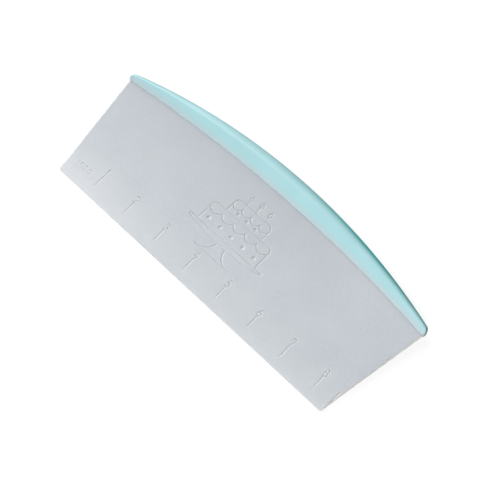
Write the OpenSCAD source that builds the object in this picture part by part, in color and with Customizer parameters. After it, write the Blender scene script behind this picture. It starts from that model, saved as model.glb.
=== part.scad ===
// Cake scraper: a thin plastic blade with an inch rule above its scraping edge,
// and a crescent grip moulded over the blade's curved upper edge.
// x runs along the scraping edge, y from that edge up to the grip, z out of the front face.
// The blade's mid-plane is z = 0. The finished part lies on its back, as it rests on a table.

/* [Blade] */
// Length of the scraping edge
edge_length = 214; // [190:1:236]
// Lean of the blade's two ends, which spread towards the grip, in degrees
end_lean = 9.6; // [4:0.1:12]
// Height from the scraping edge to the seam with the grip, at the middle
blade_height = 76.6; // [72:0.1:90]
// Rise of the curved seam from the blade's ends to its middle
seam_rise = 7.5; // [4:0.1:9]
// Thickness of the blade
blade_thickness = 2.5; // [2:0.1:3.2]
// Radius along the front and back edges of the blade's two ends, above the lip
end_edge_radius = 0.8; // [0.3:0.05:0.9]
// Radius of the two lower corners, seen from the front
corner_radius = 1; // [0.5:0.1:3]

/* [Scraping lip] */
// Height of the bevelled lip along the scraping edge
lip_height = 3.6; // [2:0.1:5]
// Thickness left at the scraping edge
lip_thickness = 1.2; // [0.6:0.1:1.6]

/* [Grip] */
// Height of the grip above the seam, at the middle
grip_height = 15.1; // [13:0.1:20]
// Height of the grip above the seam, at its two ends
grip_end_height = 4.9; // [4.6:0.1:7]
// How far the middle of the grip stands out from each face of the blade
grip_proud = 4.8; // [3.5:0.1:6]
// How far the two ends of the grip stand out from each face of the blade
grip_end_proud = 2.4; // [2.2:0.1:2.8]
// Height of the grip's thickest line, as a share of its whole height
grip_crest = 0.58; // [0.5:0.01:0.64]
// Straight foot of the grip's rim, where it stands on the blade
rim_foot = 0.3; // [0.1:0.05:0.4]
// Radius of the rolled rim above that foot
rim_radius = 0.8; // [0.4:0.05:0.9]
// Slope of the grip where it leaves the rim, in degrees
rim_slope = 35; // [30:1:45]
// Radius of the grip's two outer corners, seen from the front
grip_corner_radius = 3; // [1.5:0.1:3.2]
// Rounding of the grip's ends towards its front and back
grip_end_round = 0.8; // [0.3:0.05:0.9]

/* [Tang inside the grip] */
// How far the grip laps down over the blade's two shoulders, at the ends of the tang
grip_lap = 1; // [0.6:0.1:1.4]
// Height of the tang above the seam, at the middle
tang_height = 8; // [6.5:0.1:9]
// Height of the tang above the seam, at its two ends
tang_end_height = 3.6; // [3:0.1:4]
// Distance from the tang's ends to the ends of the seam
tang_inset = 22; // [18:1:40]
// Diameter of the anchor holes, which the grip's plastic fills
anchor_diameter = 3.2; // [2:0.1:3.6]
// Spacing of the anchor holes along the tang
anchor_pitch = 25; // [12:1:40]
// Least width of tang left above and below an anchor hole
anchor_wall = 1; // [0.6:0.1:1.4]

/* [Inch rule] */
// Distance from the blade's left corner to the rule's zero, negative outside the blade
rule_start = -1.1; // [-3:0.1:3]
// Height of the rule's marks above the scraping edge
mark_foot = 7.1; // [6:0.1:10]
// Length of one mark
mark_length = 7.8; // [4:0.1:8]
// Height of the numerals
numeral_height = 4.5; // [3:0.1:5]
// Gap between a mark and its numeral, from line middle to line middle
numeral_gap = 0.5; // [0.1:0.1:1]
// Height of the letters of the unit's name
unit_height = 4.2; // [3:0.1:5]
// Width of the lines of marks, numerals and letters
mark_width = 0.8; // [0.5:0.05:1]

/* [Picture] */
// Width of the engraved picture of a cake on a stand
picture_width = 60; // [44:1:62]
// Height of the picture's foot above the scraping edge
picture_foot = 21.6; // [21:0.1:23]
// Width of the picture's lines
line_width = 0.9; // [0.6:0.05:1.1]
// Depth of all engraved lines
engraving_depth = 0.25; // [0.15:0.05:0.5]
// Diameter of the picture's round dimples
pearl_diameter = 2.8; // [1.8:0.1:3.2]
// Depth of the dimples
pearl_depth = 0.35; // [0.2:0.05:0.5]

/* [Hidden] */
inch = 25.4;
half_thickness = blade_thickness / 2;
// Half the part's width at height y
function half_width(y) = edge_length / 2 + y * tan(end_lean);
// Radius of an arc from its half chord and its rise
function arc_radius(half_chord, rise) = (half_chord ^ 2 + rise ^ 2) / (2 * rise);
// Height at x of an arc whose top is at x = 0
function arc_y(top, radius, x) = top - radius + sqrt(radius ^ 2 - x ^ 2);

seam_end_y = blade_height - seam_rise;
seam_end_x = half_width(seam_end_y);
seam_radius = arc_radius(seam_end_x, seam_rise);
grip_top = blade_height + grip_height;
grip_end_y = seam_end_y + grip_end_height;
grip_radius = arc_radius(half_width(grip_end_y), grip_top - grip_end_y);

tang_top = blade_height + tang_height;
tang_end_x = seam_end_x - tang_inset;
tang_end_y = arc_y(blade_height, seam_radius, tang_end_x) + tang_end_height;
tang_radius = arc_radius(tang_end_x, tang_top - tang_end_y);
// Height of the blade's shoulder at x, a straight line from the tang's end to the blade's end
shoulder_fall = (tang_end_y - tang_end_height - seam_end_y) / tang_inset;
function shoulder_at(x) = seam_end_y + grip_lap - shoulder_fall * (x - seam_end_x);

// Room left around a solid by the tools that cut it
clear = 2;
// Segments of the long arcs in the flat outlines
long_arc_segments = 720;
// Width of a drawn line before it is thickened
hair = 0.02;
// Segments of the round ends of drawn lines
cap_segments = 12;
// Width of the picture as its points are written
picture_unit = 60;

// Points of an elliptical arc in n steps
function arc(centre, radii, from, to, n) =
    [for (i = [0:n]) let (a = from + (to - from) * i / n) centre + [radii.x * cos(a), radii.y * sin(a)]];
function round_arc(centre, radius, from, to, n) = arc(centre, [radius, radius], from, to, n);
function mirrored(path) = [for (p = path) [-p.x, p.y]];
// What a corner of radius r takes off at distance d from the edge
function corner_drop(d, r) = d >= r ? 0 : r - sqrt(r ^ 2 - (r - d) ^ 2);

// Grip section: half its outline as [distance above the seam, distance from the mid-plane]
rim_steps = 4;
slope_steps = 7;
nose_steps = 8;
function bezier(a, b, c, t) = (1 - t) ^ 2 * a + 2 * t * (1 - t) * b + t ^ 2 * c;
function grip_half_section(height, half) =
    let (
        rim = round_arc([rim_radius, half_thickness + rim_foot], rim_radius, 180, 90 + rim_slope, rim_steps),
        start = rim[rim_steps],
        crest = [grip_crest * height, half],
        turn = [start.x + (half - start.y) / tan(rim_slope), half],
        slope = [for (i = [1:slope_steps]) bezier(start, turn, crest, i / slope_steps)],
        nose = arc([crest.x, 0], [height - crest.x, half], 90, 0, nose_steps)
    )
    concat(rim, slope, [for (i = [1:nose_steps]) nose[i]]);
// Whole section, round the front, over the top and down the back
function grip_section(height, half) =
    let (front = grip_half_section(height, half), n = len(front))
    concat(front, [for (i = [n - 2:-1:0]) [front[i].x, -front[i].y]]);

// Grip: one slice for each place along it, from end to end
end_steps = 6;
middle_steps = 40;
end_round_share = grip_corner_radius / seam_end_x;
end_places = [for (i = [0:end_steps]) end_round_share * (1 - cos(90 * i / end_steps))];
function middle_place(i) = -1 + end_round_share + (2 - 2 * end_round_share) * i / middle_steps;
places = concat(
    [for (e = end_places) e - 1],
    [for (i = [1:middle_steps - 1]) middle_place(i)],
    [for (i = [end_steps:-1:0]) 1 - end_places[i]]
);
// Height at which the slanting line at a place crosses an arc
function crossing_y(place, top, radius) =
    let (
        base = place * edge_length / 2,
        lean = place * tan(end_lean),
        centre = top - radius,
        a = lean ^ 2 + 1,
        b = base * lean - centre,
        c = base ^ 2 + centre ^ 2 - radius ^ 2
    )
    (-b + sqrt(b ^ 2 - a * c)) / a;
function place_point(place, y) = [place * half_width(y), y];
// Share of the middle's extra thickness, which keeps the grip full until it nears its ends
function fullness(share) = 1 - (1 - share) ^ 2;
function grip_slice(place) =
    let (
        foot = place_point(place, crossing_y(place, blade_height, seam_radius)),
        top = place_point(place, crossing_y(place, grip_top, grip_radius)),
        full = norm(top - foot),
        up = (top - foot) / full,
        from_end = (1 - abs(place)) * seam_end_x,
        share = (full - grip_end_height) / (grip_height - grip_end_height),
        height = full - corner_drop(from_end, grip_corner_radius),
        proud = grip_end_proud + (grip_proud - grip_end_proud) * fullness(share),
        half = half_thickness + proud - corner_drop(from_end, grip_end_round)
    )
    [for (p = grip_section(height, half)) let (q = foot + up * p.x) [q.x, q.y, p.y]];
slices = [for (place = places) grip_slice(place)];

// The part rests on the grip's back and on the top edge of the lip's back bevel
rest_tilt = max([for (slice = slices, p = slice)
    atan2(-p.z - half_thickness, p.y - lip_height)]);
function rest_y(y, z) = y * cos(rest_tilt) - z * sin(rest_tilt);
function rest_z(y, z) = y * sin(rest_tilt) + z * cos(rest_tilt);
rest_front = max([for (slice = slices, p = slice) rest_y(p.y, p.z)]);
rest_back = rest_y(0, lip_thickness / 2);
rest_floor = rest_z(lip_height, -half_thickness);

// Lays the part on its back with the middle of its box above the origin
module lay_down() {
    translate([0, -(rest_front + rest_back) / 2, -rest_floor])
        rotate([rest_tilt, 0, 0])
            children();
}

module grip_body() {
    n = len(slices[0]);
    last = len(slices) - 1;
    walls = [for (s = [0:last - 1], i = [0:n - 1])
        let (j = (i + 1) % n, a = s * n, b = a + n)
        each [[a + i, b + j, b + i], [a + i, a + j, b + j]]];
    ends = [[for (i = [n - 1:-1:0]) i], [for (i = [0:n - 1]) last * n + i]];
    polyhedron(points = [for (s = slices) each s], faces = concat(walls, ends));
}

// Everything below the blade's two shoulders, which the grip laps over
module below_shoulder() {
    wide = half_width(grip_top);
    polygon([
        [-wide, -clear], [wide, -clear],
        [wide, shoulder_at(wide)], [tang_end_x, shoulder_at(tang_end_x)],
        [-tang_end_x, shoulder_at(tang_end_x)], [-wide, shoulder_at(wide)]
    ]);
}

module tang_plan() {
    intersection() {
        translate([0, tang_top - tang_radius])
            circle(r = tang_radius, $fn = long_arc_segments);
        translate([-tang_end_x, seam_end_y - clear])
            square([2 * tang_end_x, tang_top - seam_end_y + 2 * clear]);
    }
}

module anchor_holes() {
    reach = floor(tang_end_x / anchor_pitch);
    for (i = [-reach:reach]) {
        x = i * anchor_pitch;
        low = arc_y(blade_height, seam_radius, x);
        high = arc_y(tang_top, tang_radius, x);
        if (high - low >= anchor_diameter + 2 * anchor_wall)
            translate([x, (low + high) / 2])
                circle(d = anchor_diameter, $fn = 48);
    }
}

// Blade outline below the shoulder, with its lower corners rounded
module body_plan() {
    centre_x = edge_length / 2 + corner_radius * (tan(end_lean) - 1 / cos(end_lean));
    above = blade_height + grip_lap + clear;
    right = round_arc([centre_x, corner_radius], corner_radius, 270, 360 - end_lean, 5);
    left = [for (i = [len(right) - 1:-1:0]) mirrored(right)[i]];
    intersection() {
        below_shoulder();
        polygon(concat(left, right, [[half_width(above), above], [-half_width(above), above]]));
    }
}

module blade_blank() {
    linear_extrude(height = blade_thickness, center = true)
        difference() {
            union() {
                body_plan();
                tang_plan();
            }
            anchor_holes();
        }
}

// Space in the grip that the blade fills, taken past the blade's ends
module blade_space() {
    linear_extrude(height = blade_thickness, center = true)
        difference() {
            union() {
                below_shoulder();
                tang_plan();
            }
            anchor_holes();
        }
}

// What the bevel takes off the front of the scraping edge
module lip_cut() {
    slope = (blade_thickness - lip_thickness) / 2 / lip_height;
    reach = half_width(lip_height) + clear;
    top = half_thickness + clear * slope;
    translate([-reach, 0, 0])
        rotate([90, 0, 90])
            linear_extrude(height = 2 * reach)
                polygon([
                    [-clear, lip_thickness / 2 - clear * slope],
                    [lip_height + clear, top],
                    [-clear, top]
                ]);
}

// What the rounding takes off the front of the right end, from the lip up to the seam
module end_edge_cut() {
    r = end_edge_radius;
    translate([edge_length / 2, 0, 0])
        rotate([0, 0, -end_lean])
            translate([0, seam_end_y / cos(end_lean), 0])
                rotate([90, 0, 0])
                    linear_extrude(height = (seam_end_y - lip_height) / cos(end_lean))
                        difference() {
                            translate([-r, half_thickness - r])
                                square(r + clear);
                            translate([-r, half_thickness - r])
                                circle(r = r, $fn = 48);
                        }
}

// Thin polygon that follows a path
function heading(path, i) =
    let (d = path[min(i + 1, len(path) - 1)] - path[max(i - 1, 0)]) d / norm(d);
function beside(path, i, w) = let (d = heading(path, i)) path[i] + w * [-d.y, d.x];
function ribbon(path, w) = concat(
    [for (i = [0:len(path) - 1]) beside(path, i, w / 2)],
    [for (i = [len(path) - 1:-1:0]) beside(path, i, -w / 2)]
);
module drawn(paths, width) {
    offset(r = (width - hair) / 2, $fn = cap_segments)
        for (path = paths)
            polygon(ribbon(path, hair));
}
function moved(paths, by, size) = [for (path = paths) [for (p = path) by + size * p]];

// Numerals one unit high, with x = 0 at their middle
function numeral(n) =
    n == 1 ? [[[-0.2, 0.78], [0, 1], [0, 0]]] :
    n == 2 ? [concat(round_arc([0, 0.73], 0.27, 165, -35, 8), [[-0.28, 0], [0.29, 0]])] :
    n == 3 ? [concat(
        round_arc([0, 0.76], 0.24, 150, -80, 8),
        round_arc([0, 0.27], 0.27, 80, -150, 9))] :
    n == 4 ? [[[0.1, 0], [0.1, 1], [-0.3, 0.3], [0.32, 0.3]]] :
    n == 5 ? [concat([[0.25, 1], [-0.18, 1], [-0.21, 0.55]], round_arc([0, 0.31], 0.31, 128, -140, 9))] :
    n == 6 ? [concat([[0.18, 1], [-0.1, 0.74], [-0.25, 0.45]], round_arc([0, 0.28], 0.28, 165, -195, 12))] :
    n == 7 ? [[[-0.28, 1], [0.28, 1], [-0.08, 0]]] :
    n == 8 ? [round_arc([0, 0.77], 0.23, 0, 360, 10), round_arc([0, 0.28], 0.28, 0, 360, 12)] :
    [for (path = numeral(6)) [for (p = path) [-p.x, 1 - p.y]]];

// Small letters of the unit's name, in units of their height
letter_bow = 0.2;
letter_waist = 0.66;
function stem(x, top) = [[x, 0], [x, top]];
function bow(x) = concat(
    round_arc([x + letter_bow, letter_waist - letter_bow], letter_bow, 180, 0, 6),
    [[x + 2 * letter_bow, 0]]
);
unit_name = [
    stem(0, letter_waist), [[0, 0.94], [0, 0.98]],
    stem(0.42, letter_waist), bow(0.42),
    arc([1.4, letter_waist / 2], [0.25, letter_waist / 2], 50, 310, 8),
    stem(1.95, 1), bow(1.95)
];
// Place of the unit's name along the rule, in inches, and its height above the mark's foot
unit_place = 0.29;
unit_rise = 2.4;

rule_zero = rule_start - edge_length / 2;
rule_room = edge_length - rule_start - numeral_height;
last_inch = floor(rule_room / inch);
function rule_x(n) = rule_zero + n * inch;
function mark(n) = [[rule_x(n), mark_foot], [rule_x(n), mark_foot + mark_length]];
numeral_foot = mark_foot + mark_length + numeral_gap;
half_inch_fits = rule_x(last_inch + 0.5) < half_width(mark_foot);

module rule() {
    half_inch = half_inch_fits ? [mark(last_inch + 0.5)] : [];
    drawn(concat([for (n = [1:last_inch]) mark(n)], half_inch), mark_width);
    for (n = [1:last_inch])
        drawn(moved(numeral(n), [rule_x(n), numeral_foot], numeral_height), mark_width);
    drawn(moved(unit_name, [rule_x(unit_place), mark_foot + unit_rise], unit_height), mark_width * 0.75);
}

// Picture of a cake of two tiers on a stand, drawn about x = 0 from y = 0 up
stand_top = 12.4;
lower_tier = [46, 14.6];
upper_tier = [28, 10];
upper_foot = stand_top + lower_tier.y;
cake_top = upper_foot + upper_tier.y;
tier_corner = 3;
swag_sag = 3.2;
function tier(size, foot) =
    let (side = size.x / 2, bend = [side - tier_corner, foot + size.y - tier_corner])
    concat(
        [[-side, foot]],
        round_arc([-bend.x, bend.y], tier_corner, 180, 90, 5),
        round_arc(bend, tier_corner, 90, 0, 5),
        [[side, foot]]
    );
// Hanging arcs side by side
function swags(width, y, n) =
    let (half = width / n / 2, r = arc_radius(half, swag_sag), spread = asin(half / r))
    [for (i = [0:n - 1])
        round_arc([(2 * i + 1) * half - width / 2, y + r - swag_sag], r, 270 - spread, 270 + spread, 8)];
// A candle with the drop of its flame, whose tip is the flame's first and last point
flame_height = 4;
function candle(x, height) =
    let (wick = [x, cake_top + height], tip = wick + [0, flame_height])
    [
        [[x, cake_top], wick],
        concat([tip], round_arc(wick + [0, 1.5], 1.1, 140, 400, 8), [tip])
    ];
stand_plate = concat(
    [[-29, stand_top], [29, stand_top]],
    arc([0, stand_top], [29, 3.8], 0, -180, 16)
);
stand_leg = arc([-12.5, 8.8], [9.3, 8.3], 0, -90, 8);
stand_foot = [[-13.5, 0.5], [13.5, 0.5]];
picture = concat(
    [stand_plate, stand_leg, mirrored(stand_leg), stand_foot],
    [tier(lower_tier, stand_top), tier(upper_tier, upper_foot)],
    swags(lower_tier.x, upper_foot - tier_corner, 5),
    swags(upper_tier.x, cake_top - tier_corner, 4),
    candle(-7.5, 3), candle(0, 4), candle(7.5, 3)
);
lower_pearls = [for (i = [-2:2]) [i * lower_tier.x / 5, stand_top + 4.4]];
upper_pearls = [for (i = [-1:1]) [i * upper_tier.x / 4, upper_foot + 2.8]];
picture_scale = picture_width / picture_unit;

// Round dimple of the named width and depth in the front face
module pearl() {
    r = arc_radius(pearl_diameter / 2, pearl_depth);
    translate([0, 0, half_thickness + r - pearl_depth])
        sphere(r = r, $fn = 64);
}

module engraving() {
    translate([0, 0, half_thickness - engraving_depth])
        linear_extrude(height = engraving_depth + clear) {
            rule();
            drawn(moved(picture, [0, picture_foot], picture_scale), line_width);
        }
    for (p = concat(lower_pearls, upper_pearls))
        translate(picture_scale * [p.x, p.y, 0] + [0, picture_foot, 0])
            pearl();
}

module blade() {
    color([0.78, 0.8, 0.82])
        lay_down()
            difference() {
                blade_blank();
                for (flip = [0, 1]) {
                    mirror([0, 0, flip])
                        lip_cut();
                    for (side = [0, 1])
                        mirror([side, 0, 0])
                            mirror([0, 0, flip])
                                end_edge_cut();
                }
                engraving();
            }
}

module grip() {
    color([0.68, 0.87, 0.89])
        lay_down()
            difference() {
                grip_body();
                blade_space();
            }
}

blade();
grip();
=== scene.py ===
"""Cake scraper: a matt grey blade with an inch rule, a bevelled lip and an engraved cake, in a mint grip.

Shapes are worked out in the scraper's own frame, in millimetres: x along the scraping edge, y from that
edge to the grip, z out of the front face, with z = 0 in the middle of the blade. lay() turns them into
the row frame, in metres.
"""
import math

import bpy
import numpy as np
from mathutils import Matrix, Vector
from mathutils.geometry import delaunay_2d_cdt


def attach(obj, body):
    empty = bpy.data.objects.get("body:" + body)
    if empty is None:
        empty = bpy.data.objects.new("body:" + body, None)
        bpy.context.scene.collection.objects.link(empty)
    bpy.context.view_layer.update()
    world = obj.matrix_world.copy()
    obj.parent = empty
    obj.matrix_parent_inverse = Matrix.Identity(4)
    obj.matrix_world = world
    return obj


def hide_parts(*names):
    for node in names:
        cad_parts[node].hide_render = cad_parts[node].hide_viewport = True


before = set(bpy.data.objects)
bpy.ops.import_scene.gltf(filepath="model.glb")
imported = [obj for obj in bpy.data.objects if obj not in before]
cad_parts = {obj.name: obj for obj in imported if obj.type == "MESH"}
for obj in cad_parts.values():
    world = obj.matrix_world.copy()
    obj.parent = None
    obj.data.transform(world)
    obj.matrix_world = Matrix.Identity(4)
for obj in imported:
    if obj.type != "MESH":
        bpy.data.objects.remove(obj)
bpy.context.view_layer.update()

# Blade and lip
EDGE_LENGTH = 214
END_LEAN = 9.6
BLADE_HEIGHT = 76.6
SEAM_RISE = 7.5
HALF_THICKNESS = 1.25
END_EDGE_RADIUS = 0.8
CORNER_RADIUS = 1
LIP_HEIGHT = 3.6
LIP_HALF_THICKNESS = 0.6

# Grip
GRIP_HEIGHT = 15.1
GRIP_END_HEIGHT = 4.9
GRIP_PROUD = 4.8
GRIP_END_PROUD = 2.4
GRIP_CREST = 0.58
RIM_FOOT = 0.3
RIM_RADIUS = 0.8
RIM_SLOPE = 35
GRIP_CORNER_RADIUS = 3
GRIP_END_ROUND = 0.8

# Tang inside the grip
GRIP_LAP = 1
TANG_HEIGHT = 8
TANG_END_HEIGHT = 3.6
TANG_INSET = 22
ANCHOR_DIAMETER = 3.2
ANCHOR_PITCH = 25
ANCHOR_WALL = 1

# Inch rule
INCH = 25.4
RULE_START = -1.1
LAST_INCH = 8
MARK_FOOT = 7.1
MARK_LENGTH = 7.8
NUMERAL_HEIGHT = 4.5
NUMERAL_GAP = 0.5
UNIT_HEIGHT = 4.2
UNIT_PLACE = 0.29
UNIT_RISE = 2.4
MARK_WIDTH = 0.8
LETTER_WIDTH = 0.6
LETTER_DEPTH = 0.36

# Picture
PICTURE_FOOT = 21.6
LINE_WIDTH = 0.9
ENGRAVING_DEPTH = 0.25
PEARL_DIAMETER = 2.8
PEARL_DEPTH = 0.35
STAND_TOP = 12.4
LOWER_TIER = (46, 14.6)
UPPER_TIER = (28, 10)
TIER_CORNER = 3
SWAG_SAG = 3.2
FLAME_HEIGHT = 4

# Softness of moulded edges, and a camber of the blade's ends that keeps their points out of one line
EDGE_SOFTNESS = 0.12
SIDE_CAMBER = 0.02
GROOVE_INNER = -0.22
GROOVE_OUTER = 0.1
PEARL_SOFTNESS = 0.12
CREASE_DEGREES = 40

# Slices of the grip: steps in each end corner, in the middle, and in the section's rim, slope and nose
SOLID_STEPS = (6, 40, (4, 7, 8))
FINE_STEPS = (14, 200, (8, 18, 24))

MM = 0.001
LEAN = math.tan(math.radians(END_LEAN))
LEAN_COS = math.cos(math.radians(END_LEAN))


def half_width(y):
    """Half the scraper's width at a height above its edge."""
    return EDGE_LENGTH / 2 + y * LEAN


def arc_radius(half_chord, rise):
    """Radius of the arc that rises by so much over a chord."""
    return (half_chord ** 2 + rise ** 2) / (2 * rise)


def arc_y(top, radius, x):
    """Height of an arc at a distance from its middle."""
    return top - radius + np.sqrt(radius ** 2 - x ** 2)


def arc(centre, radii, start, end, steps):
    angles = np.radians(np.linspace(start, end, steps + 1))
    return np.c_[centre[0] + radii[0] * np.cos(angles), centre[1] + radii[1] * np.sin(angles)]


def round_arc(centre, radius, start, end, steps):
    return arc(centre, (radius, radius), start, end, steps)


def corner_drop(distance, radius):
    """What a corner of that radius takes off at a distance from the edge."""
    inside = np.clip(radius - distance, 0, radius)
    return radius - np.sqrt(np.maximum(radius ** 2 - inside ** 2, 0))


def smooth_step(low, high, value):
    t = np.clip((value - low) / (high - low), 0, 1)
    return t * t * (3 - 2 * t)


SEAM_END_Y = BLADE_HEIGHT - SEAM_RISE
SEAM_END_X = half_width(SEAM_END_Y)
SEAM_RADIUS = arc_radius(SEAM_END_X, SEAM_RISE)
GRIP_TOP = BLADE_HEIGHT + GRIP_HEIGHT
GRIP_END_Y = SEAM_END_Y + GRIP_END_HEIGHT
GRIP_RADIUS = arc_radius(half_width(GRIP_END_Y), GRIP_TOP - GRIP_END_Y)
TANG_TOP = BLADE_HEIGHT + TANG_HEIGHT
TANG_END_X = SEAM_END_X - TANG_INSET
TANG_FOOT_Y = arc_y(BLADE_HEIGHT, SEAM_RADIUS, TANG_END_X)
TANG_END_Y = TANG_FOOT_Y + TANG_END_HEIGHT
TANG_RADIUS = arc_radius(TANG_END_X, TANG_TOP - TANG_END_Y)
SHOULDER_FALL = (TANG_FOOT_Y - SEAM_END_Y) / TANG_INSET
LIP_CORNER_X = EDGE_LENGTH / 2 + CORNER_RADIUS * (LEAN - 1 / LEAN_COS)


def shoulder_at(x):
    """Height of the blade's shoulder beside the tang."""
    return SEAM_END_Y + GRIP_LAP - SHOULDER_FALL * (x - SEAM_END_X)


# Grip surface
def grip_section(height, half, rim_steps, slope_steps, nose_steps):
    """Front half of the section, as distances above the seam and from the mid-plane."""
    rim = round_arc((RIM_RADIUS, HALF_THICKNESS + RIM_FOOT), RIM_RADIUS, 180, 90 + RIM_SLOPE, rim_steps)
    start = rim[-1]
    crest = np.array([GRIP_CREST * height, half])
    turn = np.array([start[0] + (half - start[1]) / math.tan(math.radians(RIM_SLOPE)), half])
    t = np.linspace(0, 1, slope_steps + 1)[1:, None]
    slope = (1 - t) ** 2 * start + 2 * t * (1 - t) * turn + t ** 2 * crest
    nose = arc((crest[0], 0), (height - crest[0], half), 90, 0, nose_steps)[1:]
    return np.vstack([rim, slope, nose])


def crossing_y(place, top, radius):
    """Height at which the slanting line at a place along the grip crosses an arc."""
    base = place * EDGE_LENGTH / 2
    lean = place * LEAN
    centre = top - radius
    a = lean ** 2 + 1
    b = base * lean - centre
    c = base ** 2 + centre ** 2 - radius ** 2
    return (-b + math.sqrt(b ** 2 - a * c)) / a


def grip_places(end_steps, middle_steps):
    """Places of the slices, from -1 at the left end to 1 at the right end."""
    share = GRIP_CORNER_RADIUS / SEAM_END_X
    ends = share * (1 - np.cos(np.linspace(0, math.pi / 2, end_steps + 1)))
    middle = np.linspace(share - 1, 1 - share, middle_steps + 1)[1:-1]
    return np.concatenate([ends - 1, middle, 1 - ends[::-1]])


def grip_slice(place, section_steps):
    """Points of one slice, round the front, over the top and down the back."""
    seam_y = crossing_y(place, BLADE_HEIGHT, SEAM_RADIUS)
    top_y = crossing_y(place, GRIP_TOP, GRIP_RADIUS)
    foot = np.array([place * half_width(seam_y), seam_y])
    top = np.array([place * half_width(top_y), top_y])
    full = np.linalg.norm(top - foot)
    from_end = (1 - abs(place)) * SEAM_END_X
    share = (full - GRIP_END_HEIGHT) / (GRIP_HEIGHT - GRIP_END_HEIGHT)
    height = full - corner_drop(from_end, GRIP_CORNER_RADIUS)
    proud = GRIP_END_PROUD + (GRIP_PROUD - GRIP_END_PROUD) * (1 - (1 - share) ** 2)
    half = HALF_THICKNESS + proud - corner_drop(from_end, GRIP_END_ROUND)
    front = grip_section(height, half, *section_steps)
    whole = np.vstack([front, front[-2::-1] * (1, -1)])
    return np.c_[foot + whole[:, :1] * (top - foot) / full, whole[:, 1]]


def grip_slices(end_steps, middle_steps, section_steps):
    return np.array([grip_slice(p, section_steps) for p in grip_places(end_steps, middle_steps)])


# The rest plane is taken over the same slices as the solid's
SOLID_SLICES = grip_slices(*SOLID_STEPS).reshape(-1, 3)
REST_TILT = np.arctan2(-SOLID_SLICES[:, 2] - HALF_THICKNESS, SOLID_SLICES[:, 1] - LIP_HEIGHT).max()
REST_TURN = np.array(Matrix.Rotation(REST_TILT, 3, "X"))
REST_FRONT = (SOLID_SLICES @ REST_TURN.T)[:, 1].max()
REST_BACK = (REST_TURN @ (0, 0, LIP_HALF_THICKNESS))[1]
REST_FLOOR = (REST_TURN @ (0, LIP_HEIGHT, -HALF_THICKNESS))[2]
REST_SHIFT = np.array([0, -(REST_FRONT + REST_BACK) / 2, -REST_FLOOR])


def lay(points):
    """Lays points of the scraper's frame on the table, in metres."""
    return (np.asarray(points, float) @ REST_TURN.T + REST_SHIFT) * MM


# Engraved lines
def moved(paths, by, size=1.0):
    return [np.asarray(by) + size * np.asarray(path, float) for path in paths]


def mirrored(path):
    return np.asarray(path, float) * (-1, 1)


def numeral(n):
    """Strokes of a numeral one unit high, with x = 0 at its middle."""
    if n == 1:
        return [[(-0.2, 0.78), (0, 1), (0, 0)]]
    if n == 2:
        return [np.vstack([round_arc((0, 0.73), 0.27, 165, -35, 16), [(-0.28, 0), (0.29, 0)]])]
    if n == 3:
        upper = round_arc((0, 0.76), 0.24, 150, -80, 16)
        return [np.vstack([upper, round_arc((0, 0.27), 0.27, 80, -150, 18)])]
    if n == 4:
        return [[(0.1, 0), (0.1, 1), (-0.3, 0.3), (0.32, 0.3)]]
    if n == 5:
        flag = [(0.25, 1), (-0.18, 1), (-0.21, 0.55)]
        return [np.vstack([flag, round_arc((0, 0.31), 0.31, 128, -140, 18)])]
    if n == 6:
        back = [(0.18, 1), (-0.1, 0.74), (-0.25, 0.45)]
        return [np.vstack([back, round_arc((0, 0.28), 0.28, 165, -195, 24)])]
    if n == 7:
        return [[(-0.28, 1), (0.28, 1), (-0.08, 0)]]
    return [round_arc((0, 0.77), 0.23, 0, 360, 20), round_arc((0, 0.28), 0.28, 0, 360, 24)]


def unit_name():
    """Strokes of the unit's name in small letters, in units of their height."""
    waist = 0.66
    bow = 0.2

    def stem(x, top):
        return [(x, 0), (x, top)]

    def arch(x):
        return np.vstack([round_arc((x + bow, waist - bow), bow, 180, 0, 12), [(x + 2 * bow, 0)]])

    dot = [(0, 0.94), (0, 0.98)]
    c_bow = arc((1.4, waist / 2), (0.25, waist / 2), 50, 310, 16)
    return [stem(0, waist), dot, stem(0.42, waist), arch(0.42), c_bow, stem(1.95, 1), arch(1.95)]


def rule_x(n):
    return RULE_START - EDGE_LENGTH / 2 + n * INCH


def mark_lines():
    marks = [*range(1, LAST_INCH + 1), LAST_INCH + 0.5]
    return [np.array([(rule_x(n), MARK_FOOT), (rule_x(n), MARK_FOOT + MARK_LENGTH)]) for n in marks]


def numeral_lines():
    foot = MARK_FOOT + MARK_LENGTH + NUMERAL_GAP
    lines = []
    for n in range(1, LAST_INCH + 1):
        lines += moved(numeral(n), (rule_x(n), foot), NUMERAL_HEIGHT)
    return lines


def unit_lines():
    return moved(unit_name(), (rule_x(UNIT_PLACE), MARK_FOOT + UNIT_RISE), UNIT_HEIGHT)


def tier(size, foot):
    """Outline of one tier, open at its foot."""
    side = size[0] / 2
    bend_x = side - TIER_CORNER
    bend_y = foot + size[1] - TIER_CORNER
    left = round_arc((-bend_x, bend_y), TIER_CORNER, 180, 90, 12)
    right = round_arc((bend_x, bend_y), TIER_CORNER, 90, 0, 12)
    return np.vstack([[(-side, foot)], left, right, [(side, foot)]])


def swags(width, y, count):
    """Hanging arcs side by side."""
    half = width / count / 2
    radius = arc_radius(half, SWAG_SAG)
    sweep = math.degrees(math.asin(half / radius))
    middles = [(2 * i + 1) * half - width / 2 for i in range(count)]
    centre_y = y + radius - SWAG_SAG
    return [round_arc((x, centre_y), radius, 270 - sweep, 270 + sweep, 20) for x in middles]


def candle(x, foot, height):
    """A candle's stick and its flame."""
    tip = (x, foot + height + FLAME_HEIGHT)
    flame = round_arc((x, foot + height + 1.5), 1.1, 140, 400, 20)
    return [[(x, foot), (x, foot + height)], np.vstack([[tip], flame, [tip]])]


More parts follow.
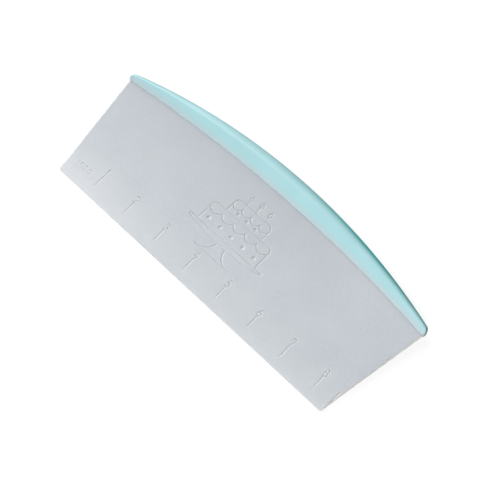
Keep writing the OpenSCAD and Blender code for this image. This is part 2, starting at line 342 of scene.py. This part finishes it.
def picture_lines():
    """A cake of two tiers on a stand, drawn about x = 0."""
    upper_foot = STAND_TOP + LOWER_TIER[1]
    cake_top = upper_foot + UPPER_TIER[1]
    plate = np.vstack([[(-29, STAND_TOP)], arc((0, STAND_TOP), (29, 3.8), 0, -180, 60)])
    leg = arc((-12.5, 8.8), (9.3, 8.3), 0, -90, 20)
    lines = [plate, leg, mirrored(leg), [(-13.5, 0.5), (13.5, 0.5)]]
    lines += [tier(LOWER_TIER, STAND_TOP), tier(UPPER_TIER, upper_foot)]
    lines += swags(LOWER_TIER[0], upper_foot - TIER_CORNER, 5)
    lines += swags(UPPER_TIER[0], cake_top - TIER_CORNER, 4)
    for x, height in ((-7.5, 3), (0, 4), (7.5, 3)):
        lines += candle(x, cake_top, height)
    return moved(lines, (0, PICTURE_FOOT))


def pearl_middles():
    upper_foot = STAND_TOP + LOWER_TIER[1]
    lower = [(i * LOWER_TIER[0] / 5, STAND_TOP + 4.4) for i in range(-2, 3)]
    upper = [(i * UPPER_TIER[0] / 4, upper_foot + 2.8) for i in range(-1, 2)]
    return np.array(lower + upper) + (0, PICTURE_FOOT)


def segments(lines):
    return np.vstack([np.c_[line[:-1], line[1:]] for line in lines])


def line_distance(points, parts, batch=4000):
    """Distance of each point from the nearest of the segments."""
    a = parts[:, :2]
    run = parts[:, 2:] - a
    length_2 = (run ** 2).sum(1)
    nearest = np.empty(len(points))
    for at in range(0, len(points), batch):
        to = points[at:at + batch, None] - a
        t = np.clip((to * run).sum(2) / length_2, 0, 1)
        gap = to - t[..., None] * run
        nearest[at:at + batch] = np.sqrt((gap ** 2).sum(2).min(1))
    return nearest


# Lines of one kind, with half their width and their depth
LINE_GROUPS = [
    (mark_lines(), MARK_WIDTH / 2, ENGRAVING_DEPTH),
    (numeral_lines(), LETTER_WIDTH / 2, LETTER_DEPTH),
    (unit_lines(), LETTER_WIDTH / 2, LETTER_DEPTH),
    (picture_lines(), LINE_WIDTH / 2, ENGRAVING_DEPTH),
]
PEARLS = pearl_middles()


def from_edge(points, lines, half):
    """Distance of each point from the edge of the lines' groove, negative inside it."""
    return line_distance(points, segments(lines)) - half


def from_groove(points):
    """Distance of each point from the edge of the nearest groove, negative inside it."""
    return np.min([from_edge(points, lines, half) for lines, half, _ in LINE_GROUPS], axis=0)


def engraved(points):
    """Depth of the engraving at each point."""
    grooves = []
    for lines, half, depth in LINE_GROUPS:
        wall = smooth_step(GROOVE_INNER, GROOVE_OUTER, from_edge(points, lines, half))
        grooves.append(depth * (1 - wall))
    radius = PEARL_DIAMETER / 2 + PEARL_SOFTNESS
    away = np.linalg.norm(points[:, None] - PEARLS, axis=2).min(1)
    pearl = PEARL_DEPTH * (1 - np.clip(away / radius, 0, 1) ** 2) ** 1.5
    return np.max([*grooves, pearl], axis=0)


# Points that carry the engraving's shape
GROOVE_LEVELS = (GROOVE_INNER, -0.14, -0.06, 0.02, GROOVE_OUTER, 0.3)
LEVEL_TOLERANCE = 0.02
PEARL_RINGS = (0.3, 0.6, 0.9, 1.1, 1.3, 1.45, 1.6, 1.9)
POINT_SPACING = 0.25
SHARP_TURN = 0.2
THINNING_PITCH = 0.05
FIELD_SPACING = 6
FIELD_CLEARANCE = 0.8


def stations(line):
    """Points along a line at a fine spacing, with the direction across it."""
    found = []
    for a, b in zip(line[:-1], line[1:]):
        run = b - a
        length = np.linalg.norm(run)
        count = max(1, round(length / POINT_SPACING))
        t = (np.arange(count) + 0.5)[:, None] / count
        across = np.array([-run[1], run[0]]) / length
        found.append(np.c_[a + t * run, np.tile(across, (count, 1))])
    return np.vstack(found)


def sharp_points(line):
    """The line's ends and the corners where it turns sharply."""
    steps = np.diff(line, axis=0)
    headings = np.arctan2(steps[:, 1], steps[:, 0])
    turns = np.abs((np.diff(headings) + math.pi) % (2 * math.pi) - math.pi)
    return np.vstack([line[:1], line[1:-1][turns > SHARP_TURN], line[-1:]])


def groove_points(lines, half):
    """Points beside a group of lines at each level of the groove's wall."""
    ways = np.vstack([stations(line) for line in lines])
    corners = np.vstack([sharp_points(line) for line in lines])
    kept = [ways[:, :2], corners]
    for level in GROOVE_LEVELS:
        reach = half + level
        count = max(6, round(2 * math.pi * reach / POINT_SPACING))
        ring = round_arc((0, 0), reach, 0, 360, count)[:-1]
        rings = (corners[:, None] + ring).reshape(-1, 2)
        sides = [ways[:, :2] + side * reach * ways[:, 2:] for side in (1, -1)]
        found = np.vstack([*sides, rings])
        kept.append(found[np.abs(from_groove(found) - level) < LEVEL_TOLERANCE])
    return np.vstack(kept)


def pearl_points():
    rings = [PEARLS]
    for radius in PEARL_RINGS:
        ring = round_arc((0, 0), radius, 0, 360, round(radius * 20))[:-1]
        rings.append((PEARLS[:, None] + ring).reshape(-1, 2))
    return np.vstack(rings)


def thinned(points):
    """One point from each cell of a fine grid."""
    cells = np.round(points / THINNING_PITCH).astype(int)
    _, first = np.unique(cells, axis=0, return_index=True)
    return points[np.sort(first)]


# Plates over a plan
def lip_corner(inset):
    """The arc round the lip's right corner, drawn in by an inset."""
    return round_arc((LIP_CORNER_X, CORNER_RADIUS), CORNER_RADIUS - inset, 270, 360 - END_LEAN, 10)


def blade_outline():
    """The blade's plan with its tang, anticlockwise from the lower left corner."""
    corner = lip_corner(0)
    end_y = (shoulder_at(0) - SHOULDER_FALL * EDGE_LENGTH / 2) / (1 + SHOULDER_FALL * LEAN)
    t = np.linspace(0, 1, 60)[1:]
    side_y = corner[-1][1] + t * (end_y - corner[-1][1])
    side = np.c_[half_width(side_y) + SIDE_CAMBER * 4 * t * (1 - t), side_y]
    tang_x = np.linspace(TANG_END_X, 0, 80)
    tang = np.c_[tang_x, arc_y(TANG_TOP, TANG_RADIUS, tang_x)]
    right = np.vstack([corner, side, [(TANG_END_X, shoulder_at(TANG_END_X))], tang])
    return np.vstack([right, mirrored(right[-2::-1])])


def anchor_loops():
    """Outlines of the anchor holes, clockwise."""
    reach = int(TANG_END_X // ANCHOR_PITCH)
    loops = []
    for x in range(-reach * ANCHOR_PITCH, (reach + 1) * ANCHOR_PITCH, ANCHOR_PITCH):
        low = arc_y(BLADE_HEIGHT, SEAM_RADIUS, x)
        high = arc_y(TANG_TOP, TANG_RADIUS, x)
        if high - low >= ANCHOR_DIAMETER + 2 * ANCHOR_WALL:
            loops.append(round_arc((x, (low + high) / 2), ANCHOR_DIAMETER / 2, 360, 0, 36)[:-1])
    return loops


def blade_space():
    """Plan of the slot in the grip, taken past the blade's ends and below the seam."""
    wide = half_width(GRIP_TOP)
    low = SEAM_END_Y - 4
    tang_x = np.linspace(TANG_END_X, -TANG_END_X, 159)
    tang = np.c_[tang_x, arc_y(TANG_TOP, TANG_RADIUS, tang_x)]
    left_foot = (-TANG_END_X, shoulder_at(TANG_END_X))
    right_foot = (TANG_END_X, shoulder_at(TANG_END_X))
    ends = [(-wide, low), (wide, low), (wide, shoulder_at(wide)), right_foot]
    return np.vstack([ends, tang, [left_foot, (-wide, shoulder_at(wide))]])


def inside(loops, points):
    """Whether each point lies within the first loop and outside the others."""
    crossings = np.zeros(len(points), int)
    for loop in loops:
        for a, b in zip(loop, np.roll(loop, -1, axis=0)):
            spans = (a[1] > points[:, 1]) != (b[1] > points[:, 1])
            rise = b[1] - a[1] or 1
            x = a[0] + (points[:, 1] - a[1]) * (b[0] - a[0]) / rise
            crossings += spans & (points[:, 0] < x)
    return crossings % 2 == 1


def triangulated(loops, inner):
    """Triangles of the plan inside the first loop and outside the others, and where the loops' points are."""
    outline = np.vstack(loops)
    edges = []
    at = 0
    for loop in loops:
        n = len(loop)
        edges += [(at + i, at + (i + 1) % n) for i in range(n)]
        at += n
    kept = inner[inside(loops, inner)]
    points = [Vector(p) for p in np.vstack([outline, kept])]
    found = delaunay_2d_cdt(points, edges, [], 0, 1e-8, True)
    places = np.array([tuple(p) for p in found[0]])
    faces = np.array(found[2])
    corners = places[faces]
    u = corners[:, 1] - corners[:, 0]
    v = corners[:, 2] - corners[:, 0]
    solid = u[:, 0] * v[:, 1] - u[:, 1] * v[:, 0] > 1e-7
    faces = faces[solid & inside(loops, corners.mean(1))]
    new_index = {}
    for new, olds in enumerate(found[3]):
        for old in olds:
            new_index[old] = new
    rim = [new_index[i] for i in range(len(outline))]
    return places, faces, rim


def plate(loops, front_points, back_points, front_height, back_height):
    """Closed mesh between two height fields over the plan that the loops bound."""
    front, front_faces, front_rim = triangulated(loops, front_points)
    back, back_faces, back_rim = triangulated(loops, back_points)
    n = len(front)
    points = np.vstack([
        np.c_[front, front_height(front)],
        np.c_[back, back_height(back)],
    ])
    faces = [tuple(f) for f in front_faces] + [tuple(f[::-1] + n) for f in back_faces]
    at = 0
    for loop in loops:
        count = len(loop)
        for i in range(count):
            a = at + i
            b = at + (i + 1) % count
            faces.append((front_rim[a], back_rim[a] + n, back_rim[b] + n, front_rim[b]))
        at += count
    return points, faces


# Blade surface
END_EDGE_RUN = 0.8
EDGE_INSETS = (0.015, 0.04, 0.08, EDGE_SOFTNESS)
LIP_ROWS = (*EDGE_INSETS, 0.3, 1.2, 2.4, 3.4, 3.6, 3.8, 4.6)
END_EDGE_DEGREES = (15, 30, 45, 60, 75, 90, 130)


def blade_half(points):
    """Half the blade's thickness over a point of its plan, with lip, end edges and softened corners."""
    x = np.abs(points[:, 0])
    y = points[:, 1]
    lip = (HALF_THICKNESS - LIP_HALF_THICKNESS) * np.clip(1 - y / LIP_HEIGHT, 0, 1)
    from_end = (half_width(y) - x) * LEAN_COS
    in_sight = y < SEAM_END_Y + 0.05
    end_radius = END_EDGE_RADIUS * smooth_step(LIP_HEIGHT, LIP_HEIGHT + END_EDGE_RUN, y) * in_sight
    end = corner_drop(from_end, np.maximum(end_radius, 1e-6))
    from_centre = np.hypot(x - LIP_CORNER_X, y - CORNER_RADIUS)
    in_corner = (x > LIP_CORNER_X) & (y < CORNER_RADIUS)
    from_outline = np.where(in_corner, CORNER_RADIUS - from_centre, np.minimum(from_end, y))
    edge = corner_drop(np.maximum(from_outline, 0), EDGE_SOFTNESS)
    return HALF_THICKNESS - lip - np.maximum(end, edge)


def blade_rows():
    """Plan points that carry the lip and the rounded edges."""
    rows = []
    reach = EDGE_LENGTH / 2
    for y in LIP_ROWS:
        x = np.arange(2 - reach, reach - 1.5, 2)
        rows.append(np.c_[x, np.full(len(x), y)])
    side_y = np.concatenate([np.arange(1.2, 5, 0.2), np.arange(5, SEAM_END_Y + 1, 1.5)])
    for degrees in END_EDGE_DEGREES:
        inset = END_EDGE_RADIUS * (1 - math.cos(math.radians(degrees)))
        x = half_width(side_y) - inset / LEAN_COS
        rows += [np.c_[x, side_y], np.c_[-x, side_y]]
    straight_y = np.arange(1, LIP_HEIGHT + END_EDGE_RUN, 0.2)
    for inset in EDGE_INSETS:
        bend = lip_corner(inset)
        straight = np.c_[half_width(straight_y) - inset / LEAN_COS, straight_y]
        rows += [bend, mirrored(bend), straight, mirrored(straight)]
    return np.vstack(rows)


def field_points(step, x_reach, y_low, y_high):
    x, y = np.meshgrid(np.arange(-x_reach, x_reach + 0.1, step), np.arange(y_low, y_high, step))
    return np.c_[x.ravel(), y.ravel()]


def smooth(mesh):
    mesh.shade_smooth()
    mesh.set_sharp_from_angle(angle=math.radians(CREASE_DEGREES))


def make_piece(name, points, faces):
    mesh = bpy.data.meshes.new(name)
    mesh.from_pydata(lay(points).tolist(), [], faces)
    mesh.validate()
    smooth(mesh)
    piece = bpy.data.objects.new(name, mesh)
    bpy.context.scene.collection.objects.link(piece)
    return piece


def make_blade():
    rows = blade_rows()
    field = field_points(FIELD_SPACING, 90, 8, SEAM_END_Y)
    field = field[from_groove(field) > FIELD_CLEARANCE]
    grooves = [groove_points(lines, half) for lines, half, _ in LINE_GROUPS]
    front_points = np.vstack([thinned(np.vstack([*grooves, pearl_points(), rows])), field])
    back_points = thinned(np.vstack([rows, field]))

    def front_height(points):
        return blade_half(points) - engraved(points)

    def back_height(points):
        return -blade_half(points)

    loops = [blade_outline(), *anchor_loops()]
    return make_piece("scraper_blade", *plate(loops, front_points, back_points, front_height, back_height))


# Grip mesh
def loft(slices):
    """Closed mesh through the slices, with a flat end at each end."""
    count, n = slices.shape[:2]
    faces = []
    for s in range(count - 1):
        for i in range(n):
            a = s * n + i
            b = s * n + (i + 1) % n
            faces.append((a, a + n, b + n, b))
    faces.append(tuple(range(n)))
    faces.append(tuple(count * n - 1 - i for i in range(n)))
    return slices.reshape(-1, 3), faces


def make_grip():
    body = make_piece("scraper_grip", *loft(grip_slices(*FINE_STEPS)))

    def slot_half(points):
        return np.full(len(points), HALF_THICKNESS)

    none = np.empty((0, 2))
    slot = plate([blade_space(), *anchor_loops()], none, none, slot_half, lambda p: -slot_half(p))
    cutter = make_piece("slot_cutter", *slot)
    cut = body.modifiers.new("slot", "BOOLEAN")
    cut.operation = "DIFFERENCE"
    cut.solver = "MANIFOLD"
    cut.object = cutter
    bpy.context.view_layer.update()
    done = bpy.data.meshes.new_from_object(body.evaluated_get(bpy.context.evaluated_depsgraph_get()))
    body.modifiers.clear()
    body.data = done
    bpy.data.objects.remove(cutter)
    smooth(done)
    return body


# Materials
class Nodes:
    """A material's nodes, added and linked by name."""

    def __init__(self, name):
        self.material = bpy.data.materials.new(name)
        self.material.use_nodes = True
        self.tree = self.material.node_tree
        self.shader = self.tree.nodes["Principled BSDF"]

    def add(self, kind, links=(), **values):
        node = self.tree.nodes.new(kind)
        for key, value in values.items():
            setattr(node, key, value)
        for socket, source in dict(links).items():
            if isinstance(source, bpy.types.NodeSocket):
                self.tree.links.new(source, node.inputs[socket])
            else:
                node.inputs[socket].default_value = source
        return node

    def link(self, source, socket):
        self.tree.links.new(source, self.shader.inputs[socket])

    def scatter(self, reach_mm, colours, share):
        """Lets light spread under the surface, by a share of that reach for each colour."""
        self.shader.inputs["Subsurface Weight"].default_value = share
        self.shader.inputs["Subsurface Radius"].default_value = colours
        self.shader.inputs["Subsurface Scale"].default_value = reach_mm * MM


def grain(nodes, place, size_mm, detail=2.0, roughness=0.5):
    """Noise whose blotches are about that many millimetres across."""
    links = {"Vector": place, "Scale": 1 / (size_mm * MM), "Detail": detail, "Roughness": roughness}
    return nodes.add("ShaderNodeTexNoise", links).outputs["Fac"]


def spread(nodes, value, low, high, from_low=0.3, from_high=0.7):
    """The value, taken from one range to another."""
    links = {"Value": value, "From Min": from_low, "From Max": from_high, "To Min": low, "To Max": high}
    return nodes.add("ShaderNodeMapRange", links).outputs["Result"]


def blend(nodes, share, low, high):
    """Mix of two colours, or of a colour and a link, by a share."""
    mix = nodes.add("ShaderNodeMix", data_type="RGBA")
    nodes.tree.links.new(share, mix.inputs["Factor"])
    for socket, colour in ((mix.inputs[6], low), (mix.inputs[7], high)):
        if isinstance(colour, bpy.types.NodeSocket):
            nodes.tree.links.new(colour, socket)
        else:
            socket.default_value = (*colour, 1)
    return mix.outputs[2]


def maths(nodes, operation, first, second):
    return nodes.add("ShaderNodeMath", {0: first, 1: second}, operation=operation).outputs[0]


def vector_maths(nodes, operation, first, second=(0, 0, 0)):
    return nodes.add("ShaderNodeVectorMath", {0: first, 1: second}, operation=operation).outputs


def bump(nodes, height, depth_mm, strength=1.0):
    links = {"Height": height, "Distance": depth_mm * MM, "Strength": strength}
    return nodes.add("ShaderNodeBump", links).outputs["Normal"]


def facing(nodes, normal, direction):
    """How far a surface faces a direction, up to 1."""
    return vector_maths(nodes, "DOT_PRODUCT", normal, direction)["Value"]


def above_seam(nodes, place):
    """Distance outward from the seam's arc, in metres."""
    centre = lay((0, BLADE_HEIGHT - SEAM_RADIUS, 0))
    blade_normal = REST_TURN[:, 2]
    from_centre = vector_maths(nodes, "SUBTRACT", place, centre)["Vector"]
    across = vector_maths(nodes, "CROSS_PRODUCT", from_centre, blade_normal)["Vector"]
    reach = vector_maths(nodes, "LENGTH", across)["Value"]
    return maths(nodes, "SUBTRACT", reach, SEAM_RADIUS * MM)


def blade_material():
    """Cloudy grey, with painted light at the lower left and on the right end face, and painted shade towards
    the grip and along the seam.
    """
    nodes = Nodes("blade_plastic")
    nodes.scatter(1.5, (1, 1, 1), 0.85)
    nodes.shader.inputs["Specular IOR Level"].default_value = 0.2
    texture = nodes.add("ShaderNodeTexCoord").outputs
    place = texture["Object"]
    parts = nodes.add("ShaderNodeSeparateXYZ", {"Vector": place}).outputs

    clouds = spread(nodes, grain(nodes, place, 24, 3), 0, 1)
    colour = blend(nodes, clouds, (0.55, 0.585, 0.62), (0.585, 0.618, 0.652))
    flecks = spread(nodes, grain(nodes, place, 1.6, 3), 0, 0.35)
    colour = blend(nodes, flecks, colour, (0.66, 0.69, 0.72))

    # Painted light: the blade is made paler towards its lower left edge.
    low = spread(nodes, parts["Y"], 1, 0, -0.046, -0.022)
    left = spread(nodes, parts["X"], 1, 0.4, -0.11, -0.02)
    colour = blend(nodes, maths(nodes, "MULTIPLY", low, left), colour, (0.72, 0.74, 0.765))
    # Painted shade: deeper towards the grip, except at the right end.
    high = spread(nodes, parts["Y"], 0, 0.5, -0.02, 0.03)
    not_right = spread(nodes, parts["X"], 1, 0, 0.02, 0.08)
    colour = blend(nodes, maths(nodes, "MULTIPLY", high, not_right), colour, (0.47, 0.5, 0.53))
    # Painted shadow on the blade just under the seam.
    painted_seam_shadow = spread(nodes, above_seam(nodes, place), 0, 0.5, -0.0022, -0.0002)
    colour = blend(nodes, painted_seam_shadow, colour, (0.45, 0.49, 0.53))
    # Painted light on the end face that faces right.
    painted_end_light = spread(nodes, facing(nodes, texture["Normal"], (1, 0, 0)), 0, 1, 0.4, 0.85)
    colour = blend(nodes, painted_end_light, colour, (0.88, 0.85, 0.82))

    nodes.link(colour, "Base Color")
    nodes.link(spread(nodes, grain(nodes, place, 5, 2), 0.46, 0.58), "Roughness")
    nodes.link(bump(nodes, grain(nodes, place, 0.45, 2), 0.02, 0.6), "Normal")
    return nodes.material


def grip_material():
    """Mint, with painted shade where it faces up, at the left crest and most of all at the right, and painted
    highlight near the seam and on the rim's lower wall.
    """
    nodes = Nodes("grip_plastic")
    texture = nodes.add("ShaderNodeTexCoord").outputs
    place = texture["Object"]
    along = nodes.add("ShaderNodeSeparateXYZ", {"Vector": place}).outputs["X"]
    up = facing(nodes, texture["Normal"], (0, 1, 0))
    down = facing(nodes, texture["Normal"], (0, -1, 0))
    right = facing(nodes, texture["Normal"], (1, 0, 0))
    up_right = facing(nodes, texture["Normal"], (0.3, 0.95, 0))

    clouds = spread(nodes, grain(nodes, place, 18, 2), 0, 1)
    colour = blend(nodes, clouds, (0.415, 0.695, 0.73), (0.44, 0.72, 0.755))
    # Painted shade: deep teal where the surface faces up and to the right.
    colour = blend(nodes, spread(nodes, up_right, 0, 0.6, 0.62, 0.9), colour, (0.15, 0.72, 0.72))

    # Painted shade on the crest side towards the left end.
    to_left = spread(nodes, along, 0.6, 0, -0.11, -0.065)
    crest_side = spread(nodes, up, 0, 1, 0.08, 0.4)
    colour = blend(nodes, maths(nodes, "MULTIPLY", to_left, crest_side), colour, (0.29, 0.53, 0.55))

    # Painted shade: deep teal on the top edge towards the right end, and on the end face that faces right.
    to_right = spread(nodes, along, 0, 1, -0.005, 0.06)
    short_of_end = spread(nodes, along, 1, 0.35, 0.075, 0.112)
    top_edge = spread(nodes, up, 0, 1, 0.32, 0.7)
    right_top = maths(nodes, "MULTIPLY", maths(nodes, "MULTIPLY", to_right, top_edge), short_of_end)
    right_end = spread(nodes, right, 0, 0.75, 0.35, 0.7)
    colour = blend(nodes, maths(nodes, "MAXIMUM", right_top, right_end), colour, (0.05, 0.54, 0.52))

    # Painted highlight: paler and greyer along the rim at the seam.
    painted_seam_highlight = spread(nodes, above_seam(nodes, place), 0.8, 0, 0.0008, 0.0036)
    colour = blend(nodes, painted_seam_highlight, colour, (0.52, 0.64, 0.68))
    # Painted light on the rim's wall that faces down.
    painted_rim_light = spread(nodes, down, 0, 1, 0.72, 0.97)
    colour = blend(nodes, painted_rim_light, colour, (0.72, 0.86, 0.87))

    nodes.link(colour, "Base Color")
    nodes.link(spread(nodes, grain(nodes, place, 3, 2), 0.3, 0.38), "Roughness")
    nodes.link(bump(nodes, grain(nodes, place, 0.6, 2), 0.01, 0.5), "Normal")
    return nodes.material


# Stage
FLOOR_HALF_SIZE = 2
FLOOR_GREY = 0.3
FLOOR_GLOW = 0.8


def floor_material():
    """White for the camera, and plain diffuse for the light, so that the object's shadow stays."""
    nodes = Nodes("floor_paper")
    nodes.shader.inputs["Base Color"].default_value = (FLOOR_GREY, FLOOR_GREY, FLOOR_GREY, 1)
    nodes.shader.inputs["Roughness"].default_value = 0.9
    nodes.shader.inputs["Specular IOR Level"].default_value = 0
    seen = nodes.add("ShaderNodeLightPath").outputs["Is Camera Ray"]
    glow = nodes.add("ShaderNodeEmission", {"Strength": maths(nodes, "MULTIPLY", seen, FLOOR_GLOW)})
    both = nodes.add("ShaderNodeAddShader", {0: nodes.shader.outputs[0], 1: glow.outputs[0]})
    output = nodes.tree.nodes["Material Output"]
    nodes.tree.links.new(both.outputs[0], output.inputs["Surface"])
    return nodes.material


def make_floor():
    size = FLOOR_HALF_SIZE
    mesh = bpy.data.meshes.new("floor")
    corners = [(-size, -size, 0), (size, -size, 0), (size, size, 0), (-size, size, 0)]
    mesh.from_pydata(corners, [], [(0, 1, 2, 3)])
    mesh.materials.append(floor_material())
    floor = bpy.data.objects.new("floor", mesh)
    bpy.context.scene.collection.objects.link(floor)


def make_world(ambient):
    """White for the camera, and a faint even light for the object."""
    world = bpy.data.worlds.new("soft_room")
    world.use_nodes = True
    tree = world.node_tree
    back = tree.nodes["Background"]
    back.inputs["Color"].default_value = (1, 1, 1, 1)
    path = tree.nodes.new("ShaderNodeLightPath")
    strength = tree.nodes.new("ShaderNodeMapRange")
    strength.inputs["To Min"].default_value = ambient
    strength.inputs["To Max"].default_value = 1
    tree.links.new(path.outputs["Is Camera Ray"], strength.inputs["Value"])
    tree.links.new(strength.outputs["Result"], back.inputs["Strength"])
    bpy.context.scene.world = world


def soft_light(name, direction, distance, size, level):
    """Square lamp that faces the object, of the level that it alone gives a surface facing it."""
    lamp = bpy.data.lights.new(name, "AREA")
    lamp.shape = "SQUARE"
    lamp.size = size
    lamp.energy = level * math.pi ** 2 * distance ** 2
    light = bpy.data.objects.new(name, lamp)
    toward = Vector(direction).normalized()
    turn = toward.to_track_quat("Z", "Y").to_matrix().to_4x4()
    light.matrix_world = Matrix.Translation(toward * distance) @ turn
    bpy.context.scene.collection.objects.link(light)


# Camera, fitted to the photo's outline and rule marks
CAMERA_YAW = -19.0
CAMERA_PITCH = -11.6
CAMERA_ROLL = -3.6
PHOTO_ROLL = 42.2
CAMERA_DISTANCE = 744
FOCAL_PIXELS = 1299
PHOTO_PIXELS = 500
AIM_OFFSET = (-20.9, -8.0)
AIM_POINT = np.array([0.5, 45, HALF_THICKNESS])
SENSOR = 36


def make_camera():
    roll = Matrix.Rotation(math.radians(CAMERA_ROLL), 3, "Z")
    pitch = Matrix.Rotation(math.radians(CAMERA_PITCH), 3, "X")
    yaw = Matrix.Rotation(math.radians(CAMERA_YAW), 3, "Y")
    to_object = np.array(roll @ pitch @ yaw).T
    per_pixel = CAMERA_DISTANCE / FOCAL_PIXELS
    offset = (-AIM_OFFSET[0] * per_pixel, AIM_OFFSET[1] * per_pixel, CAMERA_DISTANCE)
    place = to_object @ offset + AIM_POINT
    turn = math.radians(PHOTO_ROLL)
    right = to_object @ (math.cos(turn), math.sin(turn), 0)
    up = to_object @ (-math.sin(turn), math.cos(turn), 0)
    axes = REST_TURN @ np.c_[right, up, np.cross(right, up)]
    data = bpy.data.cameras.new("photo_camera")
    data.sensor_width = SENSOR
    data.lens = FOCAL_PIXELS / PHOTO_PIXELS * SENSOR
    camera = bpy.data.objects.new("photo_camera", data)
    camera.matrix_world = Matrix.Translation(Vector(lay(place))) @ Matrix(axes.tolist()).to_4x4()
    bpy.context.scene.collection.objects.link(camera)
    bpy.context.scene.camera = camera


def dress(piece, material, node):
    """Gives a piece its material, and puts it in its node's place."""
    piece.data.materials.clear()
    piece.data.materials.append(material)
    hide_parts(node)
    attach(piece, "root")


make_camera()
dress(make_blade(), blade_material(), "blade")
dress(make_grip(), grip_material(), "grip")
make_floor()
make_world(ambient=0.03)
soft_light("key_light", (-0.96, 0.1, 0.27), 4, 2.2, 1.4)
soft_light("fill_light", (0.42, -0.72, 0.56), 3, 2.2, 0.79)
soft_light("top_light", (-0.53, 0.24, 0.81), 2.5, 0.8, 0.26)
soft_light("back_light", (-0.62, 0.7, 0.36), 3, 1, 0.2)
soft_light("end_light", (0.93, -0.34, 0.1), 3, 1, 0.14)
bpy.context.scene.view_settings.view_transform = "Standard"
